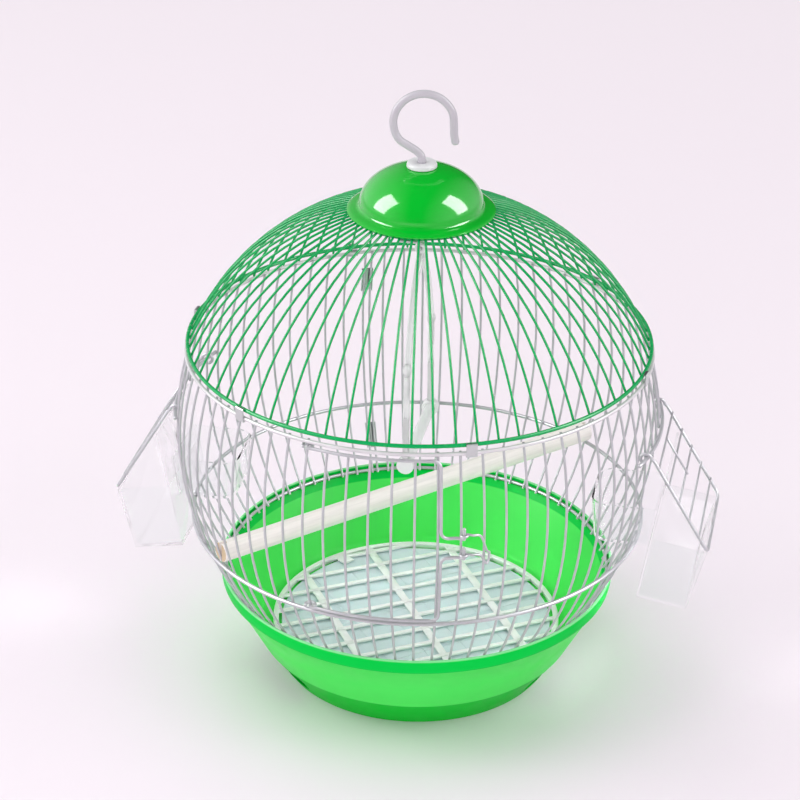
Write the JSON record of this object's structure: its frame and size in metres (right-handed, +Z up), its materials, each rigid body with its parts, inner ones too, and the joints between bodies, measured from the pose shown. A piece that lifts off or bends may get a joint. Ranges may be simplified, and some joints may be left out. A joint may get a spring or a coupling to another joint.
{
  "type": "bird cage",
  "caption": "Round wire bird cage with a moulded tub, domed top, hanging hook, hinged front door, side feeders under wire flaps, perch and swing.",
  "frame": {"origin": "middle of the tub's foot, on the floor", "axes": "+Z up along the cage's axis, the front door faces -Y, the feeders are at -X and +X"},
  "size_m": [0.4382, 0.3504, 0.4493],
  "materials": {
    "tub_plastic": "gloss",
    "cap_plastic": "gloss",
    "tray_plastic": "translucent satin",
    "grate_plastic": "satin",
    "white_wire": "dipped coating, satin",
    "green_wire": "dipped coating, satin",
    "collar_plastic": "gloss",
    "hook_plastic": "satin",
    "swing_plastic": "satin",
    "clear_plastic": "clear gloss",
    "plated_steel": "plated",
    "pale_wood": "bare, fine grain"
  },
  "bodies": {
    "tub": {"base_tub": "tub_plastic"},
    "tray": {"litter_tray": "tray_plastic"},
    "grate": {"floor_grate": "grate_plastic"},
    "cage": {"body_panel_front": "white_wire", "body_panel_right_1": "white_wire", "body_panel_right_2": "white_wire", "body_panel_right_feeder": "white_wire", "body_panel_right_3": "white_wire", "body_panel_right_4": "white_wire", "body_panel_left_1": "white_wire", "body_panel_left_2": "white_wire", "body_panel_left_feeder": "white_wire", "body_panel_left_3": "white_wire", "body_panel_left_4": "white_wire", "dome_panel_1": "green_wire", "dome_panel_2": "green_wire", "dome_panel_3": "green_wire", "dome_panel_4": "green_wire", "dome_panel_5": "green_wire", "dome_panel_6": "green_wire", "dome_panel_7": "green_wire", "dome_panel_8": "green_wire", "dome_panel_9": "green_wire", "dome_panel_10": "green_wire", "cap_shell": "cap_plastic", "hook_collar": "collar_plastic", "clamp_bar": "plated_steel", "swing_hanger": "plated_steel", "perch": "pale_wood", "seam_crimp_upper": "plated_steel", "seam_crimp_lower": "plated_steel", "ring_clip_1": "plated_steel", "ring_clip_2": "plated_steel", "ring_clip_3": "plated_steel", "ring_clip_4": "plated_steel", "ring_clip_5": "plated_steel", "ring_clip_6": "plated_steel"},
    "hook_body": {"hook": "hook_plastic", "hook_nut": "plated_steel"},
    "swing": {"swing_frame": "swing_plastic", "swing_perch": "swing_plastic"},
    "door": {"front_door": "white_wire"},
    "latch": {"door_latch": "white_wire"},
    "flap_left": {"feeder_flap_left": "white_wire"},
    "flap_right": {"feeder_flap_right": "white_wire"},
    "feeder_left": {"feeder_box_left": "clear_plastic", "feeder_cup_left": "clear_plastic"},
    "feeder_right": {"feeder_box_right": "clear_plastic", "feeder_cup_right": "clear_plastic"}
  },
  "joints": [
    {"name": "tray_lift", "type": "slide", "parent": "tub", "child": "tray", "axis": [0, 0, 1], "range_m": [0, 0.035]},
    {"name": "grate_lift", "type": "slide", "parent": "tray", "child": "grate", "axis": [0, 0, 1], "range_m": [0, 0.055]},
    {"name": "cage_lift", "type": "slide", "parent": "tub", "child": "cage", "axis": [0, 0, 1], "range_m": [0, 0.1]},
    {"name": "hook_swivel", "type": "hinge", "parent": "cage", "child": "hook_body", "pos_m": [0, 0, 0.3971], "axis": [0, 0, 1], "continuous": true},
    {"name": "swing_pivot", "type": "hinge", "parent": "cage", "child": "swing", "pos_m": [0, 0, 0.3325], "axis": [0, 1, 0], "range_deg": [-35, 35]},
    {"name": "door_hinge", "type": "hinge", "parent": "cage", "child": "door", "pos_m": [-0.04372, -0.15841, 0.12825], "axis": [0.0032, 0.0118, -0.9999], "range_deg": [0, 110]},
    {"name": "latch_hinge", "type": "hinge", "parent": "door", "child": "latch", "pos_m": [0.06418, -0.16806, 0.1835], "axis": [0, 0, -1], "range_deg": [0, 80]},
    {"name": "flap_left_hinge", "type": "hinge", "parent": "cage", "child": "flap_left", "pos_m": [-0.17057, 0, 0.206], "axis": [0, 1, 0], "range_deg": [0, 100]},
    {"name": "flap_right_hinge", "type": "hinge", "parent": "cage", "child": "flap_right", "pos_m": [0.17057, 0, 0.206], "axis": [0, -1, 0], "range_deg": [0, 100]},
    {"name": "feeder_left_draw", "type": "slide", "parent": "cage", "child": "feeder_left", "axis": [-1, 0, 0], "range_m": [0, 0.048]},
    {"name": "feeder_right_draw", "type": "slide", "parent": "cage", "child": "feeder_right", "axis": [1, 0, 0], "range_m": [0, 0.048]}
  ],
  "couplings": [
    {"joint": "feeder_left_draw", "follows": "flap_left_hinge", "m_per_rad": 0.027},
    {"joint": "feeder_right_draw", "follows": "flap_right_hinge", "m_per_rad": 0.027}
  ]
}
